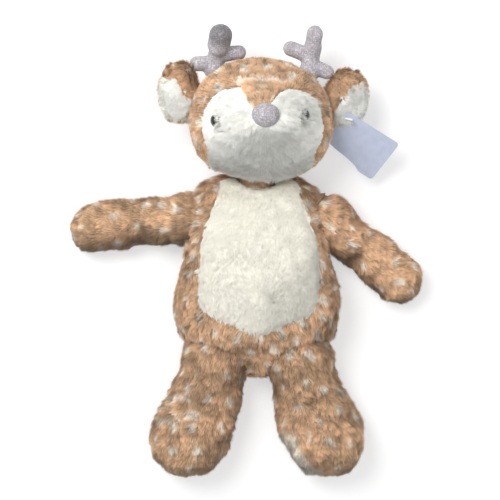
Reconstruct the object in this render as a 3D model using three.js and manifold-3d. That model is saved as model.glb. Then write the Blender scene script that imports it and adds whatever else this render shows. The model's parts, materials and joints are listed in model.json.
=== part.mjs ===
// A plush deer that lies on its back with its arms and legs spread.
// Lengths are in millimetres and angles in degrees. +X is the deer's left, +Y runs from the seat
// to the head and +Z is up from the floor. The origin is the middle of the flat patch under the back.

import * as THREE from "three";
import { mergeVertices } from "three/addons/utils/BufferGeometryUtils.js";
import Module from "manifold-3d";

const wasm = await Module();
wasm.setup();

// Cloth, seams and cuts
const plushThickness = 3;
const knitThickness = 1.6;
const seamGap = 0.3;
const jointGap = 0.6;
const hemThickness = 1.2;
const floorFlat = 0.5;
const cutOverrun = 4;
const weldReach = 0.0001;

// Body
const bodyLength = 176;
const bodyWidth = 140;
const bodyDepth = 72;
const seatToOrigin = 79;

// Belly panel
const bellyWidth = 103;
const bellySide = 1.8;
const bellyHeight = 140;
const bellyTop = 98;

// Head, measured from the joint in the neck
const headWidth = 120;
const headHeight = 106;
const headLength = 107;
const headRise = 42;
const headBehindNeck = 3.8;
const headTilt = 25;
const headTurn = 3.3;
const headTaperShare = 0.1;
const jowlShare = 0.84;

// Face panel and the blaze over it
const faceWidth = 99;
const faceHeight = 53;
const faceTop = 41;
const blazeWidth = 40;
const blazeHeight = 32;
const blazeTop = 45;

// Nose and eyes
const noseWidth = 24.5;
const noseHeight = 21.5;
const noseDepth = 19;
const noseOpening = 10;
const noseDrop = 33;
const eyeDiameter = 12;
const eyeHeight = 4.6;
const eyeSeatDepth = 1.4;
const shankDiameter = 4;
const shankLength = 7.5;
const washerDiameter = 13;
const washerThickness = 1.2;
const washerDepth = 4.6;
const eyeYaw = { right: 44, left: 33 };
const eyePitch = { right: -24, left: -21 };

// Ears
const earLength = 37;
const earWidth = 46;
const earDepth = 9;
const earLiningInset = 3.2;
const earLiningDepth = 6;
const earLiningStart = 8;
const earYaw = 88;
const earPitch = 9;
const earLean = 25;
const earRootLength = 26;
const earLift = 1;

// Antlers
const antlerRootDiameter = 18;
const antlerOpening = 9;
const beamDiameter = 14.5;
const crownDiameter = { right: 19, left: 13.5 };
const crownStartShare = 0.5;
const tineDiameter = 12.5;
const beamFork = 5;
const beamBend = 13;
const beamHeight = 32.5;
const beamForward = 9;
const innerTineReach = 18.5;
const innerTineHeight = 18;
const outerTineReach = 15.5;
const outerTineHeight = 2;
const antlerYaw = 69;
const antlerPitch = 42;
const antlerLift = 4;

// Where each seam ring starts and ends, counted from the joint's inward direction
const hemAngle = { neck: [26, 52], shoulder: [26, 52], hip: [27, 44] };

// Neck joint
const neckDiameter = 34;
const neckSide = 1;
const neckSink = 6.5;
const neckAlong = bodyLength - seatToOrigin - neckSink;
const neckLift = 28;
const neckOpening = 18;
const neckStubDiameter = 28;

// Arms, measured from the joint in the shoulder
const shoulderDiameter = 45;
const shoulderInset = 9;
const shoulderBelowNeck = 33.5;
const shoulderSide = bodyWidth / 2 - shoulderInset;
const shoulderAlong = neckAlong - shoulderBelowNeck;
const armLength = 102;
const armWidth = 41;
const armDepth = 36;
const armOpening = 20;

// Legs, measured from the joint in the hip
const hipDiameter = 58;
const hipInset = 33;
const hipSide = bodyWidth / 2 - hipInset;
const hipAboveSeat = 15;
const hipAlong = hipAboveSeat - seatToOrigin;
const legLength = 108;
const legWidth = 69;
const legDepth = 57;
const legOpening = 26;

// Hang tag and its fastener, a thread with a bar across each end
const tagLength = 55;
const tagWidth = 43;
const tagThickness = 0.8;
const tagCorner = 3;
const tagHole = 4.6;
const tagHoleInset = 5.5;
const threadDiameter = 1.3;
const tagRise = 6.5;
const tagBarDiameter = 2;
const tagBarLength = 5;
const tagBarRise = 3.2;
const tagInset = 3.4;
const tagSide = "left";

// How the toy lies: each limb's direction counted from the head's, positive towards the deer's right
const armAngle = { right: 92, left: -127 };
const legAngle = { right: 164, left: -164 };
const earAngle = { right: 67, left: -72 };
const earFold = { right: 24, left: 4 };
const antlerAngle = { right: -8, left: -6 };
const antlerLean = { right: 47, left: 27 };
const tagAngle = -33.5;
const tagTilt = 32;
const tagBarAngle = -15;
const tagAlongShare = 0.4;

// Shares of length, width, depth, height of the underside and shift to the side
const bodyShares = [
  [0, 0, 0, 0.67],
  [0.012, 0.31, 0.31, 0.375],
  [0.052, 0.54, 0.555, 0.167],
  [0.122, 0.8, 0.76, 0.03],
  [0.238, 0.98, 0.93, 0],
  [0.413, 1, 1, 0],
  [0.6, 0.9, 0.972, 0],
  [0.762, 0.82, 0.89, 0],
  [0.87, 0.8, 0.75, 0.04],
  [0.94, 0.73, 0.54, 0.16],
  [0.985, 0.48, 0.3, 0.4],
  [1, 0, 0, 0.72],
];
const armShares = [
  [-0.16, 0, 0, 1.3],
  [-0.12, 0.5, 0.5, 0.8],
  [0, 0.92, 0.92, 0.3],
  [0.2, 0.92, 0.95, 0.06],
  [0.42, 0.93, 0.95, 0, -0.02],
  [0.66, 1, 1, 0, -0.07],
  [0.84, 0.96, 0.92, 0.02, -0.13],
  [0.94, 0.72, 0.66, 0.15, -0.15],
  [0.985, 0.37, 0.34, 0.42, -0.15],
  [1, 0, 0, 0.7, -0.15],
];
const legShares = [
  [-0.2, 0, 0, 1],
  [-0.15, 0.4, 0.4, 0.6, -0.02],
  [0, 0.76, 0.84, 0.08, -0.03],
  [0.17, 0.78, 0.82, 0, -0.06],
  [0.43, 0.94, 0.89, 0, -0.02],
  [0.6, 1, 0.95, 0, 0.04],
  [0.75, 0.94, 1, 0, 0.08],
  [0.89, 0.72, 0.84, 0.03, 0.09],
  [0.965, 0.46, 0.5, 0.18, 0.08],
  [0.992, 0.22, 0.24, 0.4, 0.08],
  [1, 0, 0, 0.6, 0.08],
];
const headShares = [
  [0, 0, 0, 0],
  [0.028, 0.41, 0.41, -0.41],
  [0.12, 0.75, 0.75, -0.75],
  [0.27, 0.95, 0.95, -0.95],
  [0.42, 1, 1, -1],
  [0.57, 0.95, 0.945, -0.915],
  [0.7, 0.81, 0.8, -0.7],
  [0.81, 0.63, 0.63, -0.4],
  [0.905, 0.44, 0.45, -0.06],
  [0.96, 0.28, 0.29, 0.24],
  [0.99, 0.13, 0.14, 0.46],
  [1, 0, 0, 0.62],
];
const earShares = [
  [-0.125, 0, 0, 0],
  [-0.105, 0.3, 0.5, -0.5],
  [-0.06, 0.45, 0.8, -0.8],
  [0, 0.54, 1, -1, 0.03],
  [0.33, 0.97, 0.9, -0.9, 0.24],
  [0.52, 1, 0.85, -0.85, 0.34],
  [0.71, 0.86, 0.75, -0.75, 0.42],
  [0.9, 0.52, 0.5, -0.5, 0.52],
  [0.975, 0.25, 0.26, -0.26, 0.58],
  [1, 0, 0, 0, 0.6],
];

// One half of each panel's outline, as shares of half its width and of its height below its top
const bellyOutlineShares = [
  [0.6, 0],
  [0.68, 0.12],
  [0.84, 0.3],
  [0.95, 0.43],
  [1, 0.56],
  [1, 0.72],
  [0.95, 0.82],
  [0.78, 0.88],
  [0.42, 0.93],
  [0.14, 0.98],
];
const faceOutlineShares = [
  [0.36, 0],
  [0.72, 0.01],
  [0.9, 0.12],
  [0.98, 0.3],
  [1, 0.48],
  [0.94, 0.67],
  [0.8, 0.83],
  [0.55, 0.94],
  [0.25, 1],
];
const blazeOutlineShares = [
  [1, 0],
  [0.9, 0.2],
  [0.62, 0.5],
  [0.4, 0.8],
  [0.25, 1],
];

// The tag's lower edge, as shares of its length and width
const tagEdgeShares = [
  [0, 0.72],
  [0.05, 0.78],
  [0.2, 0.83],
  [0.44, 0.87],
  [0.62, 0.92],
  [0.74, 0.99],
  [0.85, 1],
];

// Rings and sides of the stuffed forms: fine for covers, coarse for what lies inside
const fine = { sides: 16, ringsPerRow: 2, ball: 16 };
const middling = { sides: 14, ringsPerRow: 2, ball: 14 };
const plain = { sides: 10, ringsPerRow: 1, ball: 12 };
const coarse = { sides: 8, ringsPerRow: 1, ball: 10 };
const hemSides = 18;
const eyeSides = 12;
const tagCornerSteps = 4;
const sectionRoundness = 0.88;
const splineEase = 0.5;
const panelCurveSteps = 3;

const degrees = THREE.MathUtils.degToRad;

// Materials
const finish = (color, roughness) => new THREE.MeshStandardMaterial({ color, roughness, metalness: 0 });
const brownPlush = () => finish("#b98a62", 0.95);
const creamPlush = () => finish("#e6e2d3", 0.95);
const lilacKnit = () => finish("#a59aa3", 0.8);
const blackGloss = () => finish("#0c0b0c", 0.12);
const whiteFibre = () => finish("#f2f0ea", 1);
const hemCloth = () => finish("#a87f5c", 0.95);
const nylon = () => finish("#f4f5f6", 0.35);
const paleCard = () => finish("#c9d3ea", 0.6);

// Solids from geometries and back
function solidOf(geometry) {
  const bare = geometry.clone();
  bare.deleteAttribute("normal");
  bare.deleteAttribute("uv");
  const merged = mergeVertices(bare, weldReach);
  return new wasm.Manifold(
    new wasm.Mesh({
      numProp: 3,
      vertProperties: Float32Array.from(merged.attributes.position.array),
      triVerts: Uint32Array.from(merged.index.array),
    }),
  );
}

function geometryOf(solid) {
  const { vertProperties, triVerts } = solid.getMesh();
  const geometry = new THREE.BufferGeometry();
  geometry.setAttribute("position", new THREE.BufferAttribute(Float32Array.from(vertProperties), 3));
  geometry.setIndex(new THREE.BufferAttribute(Uint32Array.from(triVerts), 1));
  return geometry;
}

const joined = (first, ...others) =>
  geometryOf(others.reduce((all, next) => all.add(solidOf(next)), solidOf(first)));
const without = (geometry, ...tools) =>
  geometryOf(tools.reduce((rest, tool) => rest.subtract(solidOf(tool)), solidOf(geometry)));
const common = (a, b) => geometryOf(solidOf(a).intersect(solidOf(b)));

// A stuffed form runs along +Y through rounded sections and closes to a point at both ends.
// Its underside is measured from the level called floor. Taper makes the sections wider at their
// upper side, and a crown below sectionRoundness makes them squarer there.
function stuffedForm(shares, size, detail) {
  const { start = 0, length, width, depth, floor = 0, mirror = 1 } = size;
  const { taper = 0, crown = sectionRoundness } = size;
  const sizes = new THREE.CatmullRomCurve3(
    shares.map(([along, wide, deep]) => new THREE.Vector3(along, wide, deep)),
    false,
    "catmullrom",
    splineEase,
  );
  const places = new THREE.CatmullRomCurve3(
    shares.map(([, , , lift, side = 0]) => new THREE.Vector3(lift, side, 0)),
    false,
    "catmullrom",
    splineEase,
  );
  const rings = (shares.length - 1) * detail.ringsPerRow;
  const points = [];
  const faces = [];
  const stationAt = (ring) => {
    const { x: along, y: wide, z: deep } = sizes.getPoint(ring / rings);
    const { x: lift, y: side } = places.getPoint(ring / rings);
    return {
      x: (side * mirror * width) / 2,
      y: start + along * length,
      z: floor + ((lift + deep) * depth) / 2,
      wide: (wide * width) / 2,
      deep: (deep * depth) / 2,
    };
  };
  const pole = ({ x, y, z }) => points.push(x, y, z) / 3 - 1;
  const rounded = (value, power) => Math.sign(value) * Math.abs(value) ** power;
  const first = pole(stationAt(0));
  for (let ring = 1; ring < rings; ring += 1) {
    const { x, y, z, wide, deep } = stationAt(ring);
    for (let side = 0; side < detail.sides; side += 1) {
      const angle = (2 * Math.PI * (side + 0.5)) / detail.sides;
      const [right, up] = [Math.cos(angle), Math.sin(angle)];
      const power = up > 0 ? crown : sectionRoundness;
      const across = wide * rounded(right, power) * (1 + taper * up);
      points.push(x + across, y, z + deep * rounded(up, power));
    }
  }
  const last = pole(stationAt(rings));
  const at = (ring, side) => 1 + (ring - 1) * detail.sides + (side % detail.sides);
  for (let side = 0; side < detail.sides; side += 1) {
    faces.push(first, at(1, side), at(1, side + 1));
    for (let ring = 1; ring < rings - 1; ring += 1) {
      faces.push(at(ring, side), at(ring + 1, side), at(ring, side + 1));
      faces.push(at(ring + 1, side), at(ring + 1, side + 1), at(ring, side + 1));
    }
    faces.push(last, at(rings - 1, side + 1), at(rings - 1, side));
  }
  const geometry = new THREE.BufferGeometry();
  geometry.setAttribute("position", new THREE.Float32BufferAttribute(points, 3));
  geometry.setIndex(faces);
  return geometry;
}

// The same form drawn in towards its middle by an even inset
function drawnIn(geometry, inset) {
  geometry.computeBoundingBox();
  const middle = geometry.boundingBox.getCenter(new THREE.Vector3());
  const size = geometry.boundingBox.getSize(new THREE.Vector3());
  const shrink = (length) => (length - 2 * inset) / length;
  return geometry
    .clone()
    .translate(-middle.x, -middle.y, -middle.z)
    .scale(shrink(size.x), shrink(size.y), shrink(size.z))
    .translate(middle.x, middle.y, middle.z);
}

const ball = (diameter, detail) => new THREE.SphereGeometry(diameter / 2, detail.ball, detail.ball / 2);

// A flat-faced ball lies inside its sphere, so one that cuts a hollow is made larger by this factor
const facetFactor = (detail) => 1 / Math.cos(Math.PI / detail.ball) ** 2;

// A form with a joint's ball at its root, all drawn in by an even inset
const rooted = (form, ballDiameter, detail, inset = 0) =>
  joined(drawnIn(form(detail), inset), ball(ballDiameter - 2 * inset, detail));

// A straight round bar with domed ends
function roundBar(from, to, diameter, detail) {
  const reach = to.clone().sub(from);
  const bar = new THREE.CapsuleGeometry(diameter / 2, reach.length(), detail.ball / 4, detail.sides);
  const turn = new THREE.Quaternion().setFromUnitVectors(new THREE.Vector3(0, 1, 0), reach.normalize());
  const middle = from.clone().add(to).divideScalar(2);
  return bar.applyQuaternion(turn).translate(middle.x, middle.y, middle.z);
}

// A round hole along -Y through the inner pole of a joint's ball
function rootHole(ballDiameter, holeDiameter, thickness) {
  const length = thickness + 2 * cutOverrun;
  return new THREE.CylinderGeometry(holeDiameter / 2, holeDiameter / 2, length, coarse.sides).translate(
    0,
    -ballDiameter / 2 + thickness / 2,
    0,
  );
}

// The hollow in which a joint's ball and hem turn
const socketDiameter = (ballDiameter) => ballDiameter + 4 * jointGap + 2 * hemThickness;

// A seam ring lies round the inner side of a joint's ball, between the ball and the socket
function hem(ballDiameter, [innerAngle, outerAngle]) {
  const inner = ballDiameter / 2 + jointGap;
  const steps = 2;
  const angles = Array.from({ length: steps + 1 }, (_, i) =>
    degrees(innerAngle + ((outerAngle - innerAngle) * i) / steps),
  );
  const arc = (radius) => angles.map((a) => new THREE.Vector2(radius * Math.sin(a), -radius * Math.cos(a)));
  const profile = [...arc(inner + hemThickness), ...arc(inner).reverse()];
  return new THREE.LatheGeometry([...profile, profile[0]], hemSides);
}

// A prism along +Z over a mirrored outline, from the level z up
function panelPrism(shares, { width, height, top, z, depth, grow, side = 0 }) {
  const half = shares.map(
    ([wide, down]) =>
      new THREE.Vector2(((width + grow) / 2) * wide, top + grow / 2 - (height + grow) * down),
  );
  const mirrored = half.map((point) => new THREE.Vector2(-point.x, point.y)).reverse();
  const shape = new THREE.Shape();
  shape.moveTo(mirrored.at(-1).x, mirrored.at(-1).y);
  shape.lineTo(half[0].x, half[0].y);
  shape.splineThru([...half.slice(1), ...mirrored.slice(0, -1)]);
  shape.closePath();
  const prism = new THREE.ExtrudeGeometry(shape, {
    depth,
    bevelEnabled: false,
    curveSegments: panelCurveSteps,
  });
  return prism.translate(side, 0, z);
}

// Scene
const deer = new THREE.Group();

function addMesh(parent, name, geometry, material) {
  const mesh = new THREE.Mesh(geometry, material);
  mesh.name = name;
  geometry.computeVertexNormals();
  parent.add(mesh);
  return mesh;
}

// The floor under the toy, as seen from inside a group of the scene
function floorBlock(group) {
  const reach = bodyLength + armLength + legLength + headHeight;
  const block = new THREE.BoxGeometry(2 * reach, 2 * reach, bodyDepth).translate(0, 0, -bodyDepth / 2);
  group.updateWorldMatrix(true, false);
  return block.applyMatrix4(group.matrixWorld.clone().invert());
}

function placed(parent, x, y, z, turn = 0) {
  const group = new THREE.Group();
  group.position.set(x, y, z);
  group.rotation.z = degrees(turn);
  parent.add(group);
  return group;
}

// Joint places in the body
const armSides = { right: -1, left: 1 };
const shoulderPlace = (side) =>
  new THREE.Vector3(armSides[side] * shoulderSide, shoulderAlong, shoulderDiameter / 2 - floorFlat);
const hipPlace = (side) =>
  new THREE.Vector3(armSides[side] * hipSide, hipAlong, hipDiameter / 2 - floorFlat);
const neckPlace = new THREE.Vector3(neckSide, neckAlong, neckLift);

function socketsInBody() {
  const tool = (place, ballDiameter) =>
    ball(socketDiameter(ballDiameter) * facetFactor(fine), fine).translate(place.x, place.y, place.z);
  return [
    tool(neckPlace, neckDiameter),
    ...Object.keys(armSides).flatMap((side) => [
      tool(shoulderPlace(side), shoulderDiameter),
      tool(hipPlace(side), hipDiameter),
    ]),
  ];
}

// Body: the back cover, the belly panel and the stuffing
function buildBody() {
  const size = {
    start: -seatToOrigin,
    length: bodyLength,
    width: bodyWidth,
    depth: bodyDepth,
    floor: -floorFlat,
  };
  const sockets = socketsInBody();
  const outside = stuffedForm(bodyShares, size, fine);
  const inside = stuffedForm(bodyShares, size, coarse);
  const shell = without(outside, drawnIn(inside, plushThickness), floorBlock(deer), ...sockets);
  const prism = (grow) =>
    panelPrism(bellyOutlineShares, {
      width: bellyWidth,
      height: bellyHeight,
      top: bellyTop,
      z: bodyDepth / 2,
      depth: bodyDepth,
      side: bellySide,
      grow,
    });
  addMesh(deer, "body_cover", without(shell, prism(seamGap)), brownPlush());
  addMesh(deer, "belly_panel", common(shell, prism(-seamGap)), creamPlush());
  addMesh(
    deer,
    "body_stuffing",
    without(drawnIn(inside, plushThickness + seamGap), ...sockets),
    whiteFibre(),
  );
}

// An arm or a leg: a ball in its socket, the swelling limb, its stuffing and its hem
function buildLimb(name, place, turn, size, shares, mirror) {
  const group = placed(deer, place.x, place.y, place.z, turn);
  const form = (detail) => stuffedForm(shares, { ...size, floor: -place.z - floorFlat, mirror }, detail);
  const cover = without(
    rooted(form, size.ball, middling),
    rooted(form, size.ball, coarse, plushThickness),
    rootHole(size.ball, size.opening, plushThickness),
    floorBlock(group),
  );
  addMesh(group, `${name}_cover`, cover, brownPlush());
  const filling = rooted(form, size.ball, coarse, plushThickness + seamGap);
  addMesh(group, `${name}_stuffing`, filling, whiteFibre());
  addMesh(group, size.hem, hem(size.ball, size.hemAngle), hemCloth());
}

function buildLimbs() {
  for (const [side, sign] of Object.entries(armSides)) {
    const arm = {
      length: armLength,
      width: armWidth,
      depth: armDepth,
      ball: shoulderDiameter,
      opening: armOpening,
      hem: `shoulder_${side}_hem`,
      hemAngle: hemAngle.shoulder,
    };
    const leg = {
      length: legLength,
      width: legWidth,
      depth: legDepth,
      ball: hipDiameter,
      opening: legOpening,
      hem: `hip_${side}_hem`,
      hemAngle: hemAngle.hip,
    };
    buildLimb(`arm_${side}`, shoulderPlace(side), armAngle[side], arm, armShares, -sign);
    buildLimb(`leg_${side}`, hipPlace(side), legAngle[side], leg, legShares, -sign);
  }
}

// Head
const headSize = {
  length: headLength,
  width: headWidth,
  depth: headHeight,
  taper: headTaperShare,
  crown: jowlShare,
};

// The head's form runs from the back of the skull to the tip of the muzzle along +Z
const headForm = (detail) =>
  stuffedForm(headShares, headSize, detail)
    .rotateX(Math.PI / 2)
    .translate(0, headRise, -headBehindNeck);

// The head with the neck's ball and the stub that joins them, all drawn in by an even inset
function headBody(detail, inset = 0) {
  const stubEnd = new THREE.Vector3(0, headRise / 2, headLength / 6);
  return joined(
    rooted(headForm, neckDiameter, detail, inset),
    roundBar(new THREE.Vector3(), stubEnd, neckStubDiameter - 2 * inset, detail),
  );
}

// The place and the outward direction where a line from the middle of the skull leaves the head
function onHead(form, yaw, pitch) {
  const middle = new THREE.Vector3(0, headRise, headLength / 3);
  const direction = new THREE.Vector3().setFromSphericalCoords(1, degrees(90 - pitch), degrees(yaw));
  form.computeVertexNormals();
  const caster = new THREE.Raycaster(middle, direction);
  const skin = new THREE.Mesh(form, new THREE.MeshBasicMaterial({ side: THREE.DoubleSide }));
  const [hit] = caster.intersectObject(skin);
  const outward = Math.sign(hit.normal.dot(direction));
  return { point: hit.point, normal: hit.normal.multiplyScalar(outward).normalize() };
}

// The same place raised off the head by a height
const lifted = ({ point, normal }, height) => ({
  point: point.clone().addScaledVector(normal, height),
  normal,
});

// An eye stands on a shank that passes through the cover and a washer locks it from inside
function eyeProfile() {
  const steps = 4;
  const dome = Array.from({ length: steps + 1 }, (_, i) => {
    const angle = (Math.PI / 2) * (i / steps);
    return new THREE.Vector2((eyeDiameter / 2) * Math.cos(angle), eyeHeight * Math.sin(angle));
  });
  dome[steps].x = 0;
  return [
    new THREE.Vector2(0, -shankLength),
    new THREE.Vector2(shankDiameter / 2, -shankLength),
    new THREE.Vector2(shankDiameter / 2, 0),
    ...dome,
  ];
}

function disc(diameter, bottom, top) {
  return new THREE.CylinderGeometry(diameter / 2, diameter / 2, top - bottom, plain.sides).translate(
    0,
    (top + bottom) / 2,
    0,
  );
}

function seatFrame(seat, sink) {
  const up = new THREE.Vector3(0, 1, 0);
  const turn = new THREE.Quaternion().setFromUnitVectors(up, seat.normal);
  const place = seat.point.clone().addScaledVector(seat.normal, -sink);
  return new THREE.Matrix4().compose(place, turn, new THREE.Vector3(1, 1, 1));
}

// An antler: a root ball, a bent beam and two tines
function antlerForm(inset, detail, side) {
  const sign = armSides[side];
  const point = (x, y, z = 0) => new THREE.Vector3(x * sign, y, z);
  const fork = point(0, beamFork);
  const bend = point(0, beamBend);
  const top = point(0, beamHeight, beamForward);
  const crownStart = bend.clone().lerp(top, crownStartShare);
  const bar = (from, to, diameter) => roundBar(from, to, diameter - 2 * inset, detail);
  return joined(
    ball(antlerRootDiameter - 2 * inset, detail),
    bar(point(0, 0), bend, beamDiameter),
    bar(bend, crownStart, beamDiameter),
    bar(crownStart, top, crownDiameter[side]),
    bar(bend, point(-innerTineReach, innerTineHeight), tineDiameter),
    bar(fork, point(outerTineReach, outerTineHeight), tineDiameter),
  );
}

function buildAntler(head, side, seat) {
  const group = placed(head, seat.point.x, seat.point.y, seat.point.z);
  group.rotation.set(degrees(antlerLean[side]), 0, degrees(antlerAngle[side]));
  const form = (inset, detail) => antlerForm(inset, detail, side);
  const cover = without(
    form(0, plain),
    form(knitThickness, coarse),
    rootHole(antlerRootDiameter, antlerOpening, knitThickness),
  );
  addMesh(group, `antler_${side}_cover`, cover, lilacKnit());
  addMesh(group, `antler_${side}_stuffing`, form(knitThickness + seamGap, coarse), whiteFibre());
}

// An ear: a leaf that hinges on its root, with the lining set into its front
function buildEar(head, side, seat) {
  const group = placed(head, seat.point.x, seat.point.y, seat.point.z);
  group.rotation.set(degrees(earLean), 0, degrees(earAngle[side]));
  group.rotateX(degrees(earFold[side]));
  const mirror = -armSides[side];
  const size = { length: earLength, width: earWidth, depth: earDepth, mirror };
  const leaf = stuffedForm(earShares, size, { ...middling, ringsPerRow: 1 });
  const lining = (grow) => {
    const inset = 2 * (earLiningInset - grow);
    const liningSize = {
      start: earLiningStart,
      length: earLength - earLiningStart - inset / 2,
      width: earWidth - inset,
      depth: earLiningDepth + 2 * grow,
      mirror,
    };
    return stuffedForm(earShares, liningSize, plain).translate(0, 0, earDepth / 3);
  };
  return { group, leaf, lining };
}

// Head: cover, face panel, blaze, stuffing, nose, eyes with their washers, ears and antlers
function buildHead() {
  const head = placed(deer, neckPlace.x, neckPlace.y, neckPlace.z);
  head.rotation.set(-degrees(headTilt), degrees(headTurn), 0);
  const outline = headForm(fine);

  const cuts = [];
  const nosePlace = new THREE.Vector3(0, headRise - noseDrop, headLength - headBehindNeck);
  nosePlace.z -= noseDepth / 6;
  const noseForm = (detail, inset) =>
    ball(1, detail)
      .scale(noseWidth - 2 * inset, noseHeight - 2 * inset, noseDepth - 2 * inset)
      .translate(nosePlace.x, nosePlace.y, nosePlace.z);
  cuts.push(noseForm(plain, -seamGap));

  const eyes = Object.entries(armSides).map(([side, sign]) => {
    const frame = seatFrame(onHead(outline, eyeYaw[side] * sign, eyePitch[side]), eyeSeatDepth);
    const seatTool = disc(eyeDiameter + 2 * seamGap, -seamGap, eyeHeight).applyMatrix4(frame);
    const shankTool = disc(shankDiameter + 2 * seamGap, -shankLength - seamGap, eyeHeight);
    const washerBottom = -washerDepth - washerThickness;
    const washerTool = disc(washerDiameter + 2 * seamGap, washerBottom - seamGap, -washerDepth + seamGap);
    cuts.push(seatTool, shankTool.applyMatrix4(frame), washerTool.applyMatrix4(frame));
    return { side, frame };
  });

  const ears = Object.entries(armSides).map(([side, sign]) => {
    const seat = lifted(onHead(outline, earYaw * sign, earPitch), earLift);
    const ear = buildEar(head, side, seat);
    ear.group.updateMatrix();
    const reach = new THREE.Vector3(earRootLength / 2, 0, 0);
    const grooveDiameter = (earDepth + 2 * jointGap) * facetFactor(plain);
    const groove = roundBar(reach.clone().negate(), reach, grooveDiameter, plain);
    cuts.push(groove.applyMatrix4(ear.group.matrix));
    return { side, ...ear };
  });

  for (const [side, sign] of Object.entries(armSides)) {
    const seat = lifted(onHead(outline, antlerYaw * sign, antlerPitch), antlerLift);
    buildAntler(head, side, seat);
    const { x, y, z } = seat.point;
    const socket = (antlerRootDiameter + 2 * jointGap) * facetFactor(plain);
    cuts.push(ball(socket, plain).translate(x, y, z));
  }

  const opening = rootHole(neckDiameter, neckOpening, plushThickness);
  const hollow = headBody(coarse, plushThickness);
  const shell = without(headBody(fine), hollow, opening, floorBlock(head), ...cuts);
  const prism = (shares, width, height, top, grow) =>
    panelPrism(shares, { width, height, top, z: headLength / 4, depth: headLength, grow });
  const facePrism = (grow) => prism(faceOutlineShares, faceWidth, faceHeight, faceTop, grow);
  const blazePrism = (grow) => prism(blazeOutlineShares, blazeWidth, blazeHeight, blazeTop, grow);
  addMesh(head, "head_cover", without(shell, facePrism(seamGap), blazePrism(seamGap)), brownPlush());
  addMesh(head, "forehead_blaze", common(shell, blazePrism(-seamGap)), brownPlush());
  const face = without(common(shell, facePrism(-seamGap)), blazePrism(seamGap));
  addMesh(head, "face_panel", face, creamPlush());
  const filling = without(headBody(coarse, plushThickness + seamGap), ...cuts);
  addMesh(head, "head_stuffing", filling, whiteFibre());
  const neck = placed(deer, neckPlace.x, neckPlace.y, neckPlace.z);
  addMesh(neck, "neck_hem", hem(neckDiameter, hemAngle.neck), hemCloth());

  const noseMouth = new THREE.CylinderGeometry(noseOpening / 2, noseOpening / 2, noseDepth, plain.sides)
    .rotateX(Math.PI / 2)
    .translate(nosePlace.x, nosePlace.y, nosePlace.z - noseDepth / 2);
  const noseShell = without(noseForm(plain, 0), noseForm(coarse, knitThickness), noseMouth);
  addMesh(head, "nose_cover", noseShell, lilacKnit());
  addMesh(head, "nose_stuffing", noseForm(coarse, knitThickness + seamGap), whiteFibre());

  for (const { side, frame } of eyes) {
    const eye = new THREE.LatheGeometry(eyeProfile(), eyeSides).applyMatrix4(frame);
    addMesh(head, `eye_${side}`, eye, blackGloss());
    const ring = without(
      disc(washerDiameter, -washerDepth - washerThickness, -washerDepth),
      disc(shankDiameter + 2 * seamGap, -washerDepth - cutOverrun, cutOverrun),
    ).applyMatrix4(frame);
    addMesh(head, `eye_washer_${side}`, ring, nylon());
  }

  for (const { side, group, leaf, lining } of ears) {
    const thread = side === tagSide ? [fastenerForm(threadAt(group, leaf), seamGap, group)] : [];
    addMesh(group, `ear_${side}_back`, without(leaf, lining(seamGap), ...thread), brownPlush());
    addMesh(group, `ear_${side}_lining`, without(lining(0), ...thread), creamPlush());
    if (side === tagSide) buildTag(threadAt(group, leaf));
  }
}

// The thread passes upright through the ear, near its lower edge
function threadAt(earGroup, leaf) {
  const caster = new THREE.Raycaster(
    new THREE.Vector3(0, earLength * tagAlongShare, 0),
    new THREE.Vector3(1, 0, 0),
  );
  const skin = new THREE.Mesh(leaf, new THREE.MeshBasicMaterial({ side: THREE.DoubleSide }));
  const [rim] = caster.intersectObject(skin);
  earGroup.updateWorldMatrix(true, false);
  return earGroup.localToWorld(new THREE.Vector3(rim.point.x - tagInset, rim.point.y, 0));
}

function fastenerForm(place, grow, group) {
  const top = tagRise + tagBarRise;
  const bottom = -earDepth / 3 - tagBarDiameter;
  const turn = degrees(tagBarAngle);
  const end = new THREE.Vector3(Math.cos(turn), Math.sin(turn), 0).multiplyScalar(tagBarLength / 2);
  const bars = [top, bottom].map((height) => {
    const middle = new THREE.Vector3(0, 0, height);
    return roundBar(middle.clone().sub(end), middle.add(end), tagBarDiameter + 2 * grow, coarse);
  });
  const radius = threadDiameter / 2 + grow;
  const thread = new THREE.CylinderGeometry(radius, radius, top - bottom, coarse.sides)
    .rotateX(Math.PI / 2)
    .translate(0, 0, (top + bottom) / 2);
  const fastener = joined(thread, ...bars).translate(place.x, place.y, place.z);
  return group ? fastener.applyMatrix4(group.matrixWorld.clone().invert()) : fastener;
}

// A bare card with round corners and a waved lower edge hangs above the front of the ear, by the
// hole near one of its corners
function buildTag(place) {
  const hole = place.clone().add(new THREE.Vector3(0, 0, tagRise));
  const left = -tagHoleInset;
  const top = tagHoleInset;
  const right = left + tagLength;
  const bottom = top - tagWidth;
  const outline = new THREE.Shape();
  const wave = tagEdgeShares.map(
    ([along, down]) => new THREE.Vector2(left + along * tagLength, top - down * tagWidth),
  );
  outline.moveTo(wave[0].x, wave[0].y);
  outline.splineThru(wave.slice(1));
  outline.absarc(right - tagCorner, bottom + tagCorner, tagCorner, -Math.PI / 2, 0);
  outline.absarc(right - tagCorner, top - tagCorner, tagCorner, 0, Math.PI / 2);
  outline.absarc(left + tagCorner, top - tagCorner, tagCorner, Math.PI / 2, Math.PI);
  outline.holes.push(new THREE.Path().absarc(0, 0, tagHole / 2, 0, 2 * Math.PI, true));
  const card = new THREE.ExtrudeGeometry(outline, {
    depth: tagThickness,
    bevelEnabled: false,
    curveSegments: tagCornerSteps,
  }).translate(0, 0, -tagThickness / 2);
  const group = placed(deer, hole.x, hole.y, hole.z, tagAngle);
  group.rotateOnAxis(new THREE.Vector3(tagLength, tagWidth / 2, 0).normalize(), degrees(tagTilt));
  addMesh(group, "hang_tag", geometryOf(solidOf(card)), paleCard());
  addMesh(deer, "tag_loop", fastenerForm(place, 0), nylon());
}

buildBody();
buildLimbs();
buildHead();

export default deer;
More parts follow.
